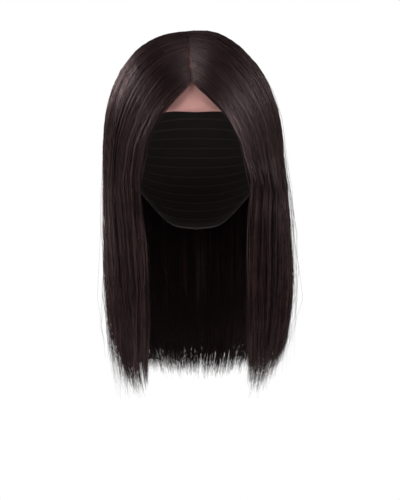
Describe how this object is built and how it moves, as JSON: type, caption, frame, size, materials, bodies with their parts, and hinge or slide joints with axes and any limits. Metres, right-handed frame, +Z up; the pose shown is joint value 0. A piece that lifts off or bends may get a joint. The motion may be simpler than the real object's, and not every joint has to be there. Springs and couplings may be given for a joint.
{
  "type": "bob wig",
  "caption": "Straight shoulder-length bob wig with a centre parting, two side curtains, a back curtain, a sheer lace front and a stretch cap.",
  "frame": {"origin": "on the inside of the cap at the crown, where the wig rests on top of a head", "axes": "+Z up, the face side towards -Y, +X to the right as seen from the front, so the wearer's left"},
  "size_m": [0.1867, 0.2109, 0.3543],
  "materials": {
    "lace": "sheer matt net in a warm skin tone",
    "cap_net": "matt dark elastic net",
    "hair": "straight natural black-brown hair with a soft sheen along the strands"
  },
  "bodies": {
    "root": {"lace_front": "lace", "stretch_cap": "cap_net", "left_hair": "hair", "right_hair": "hair", "back_hair": "hair"}
  },
  "joints": []
}
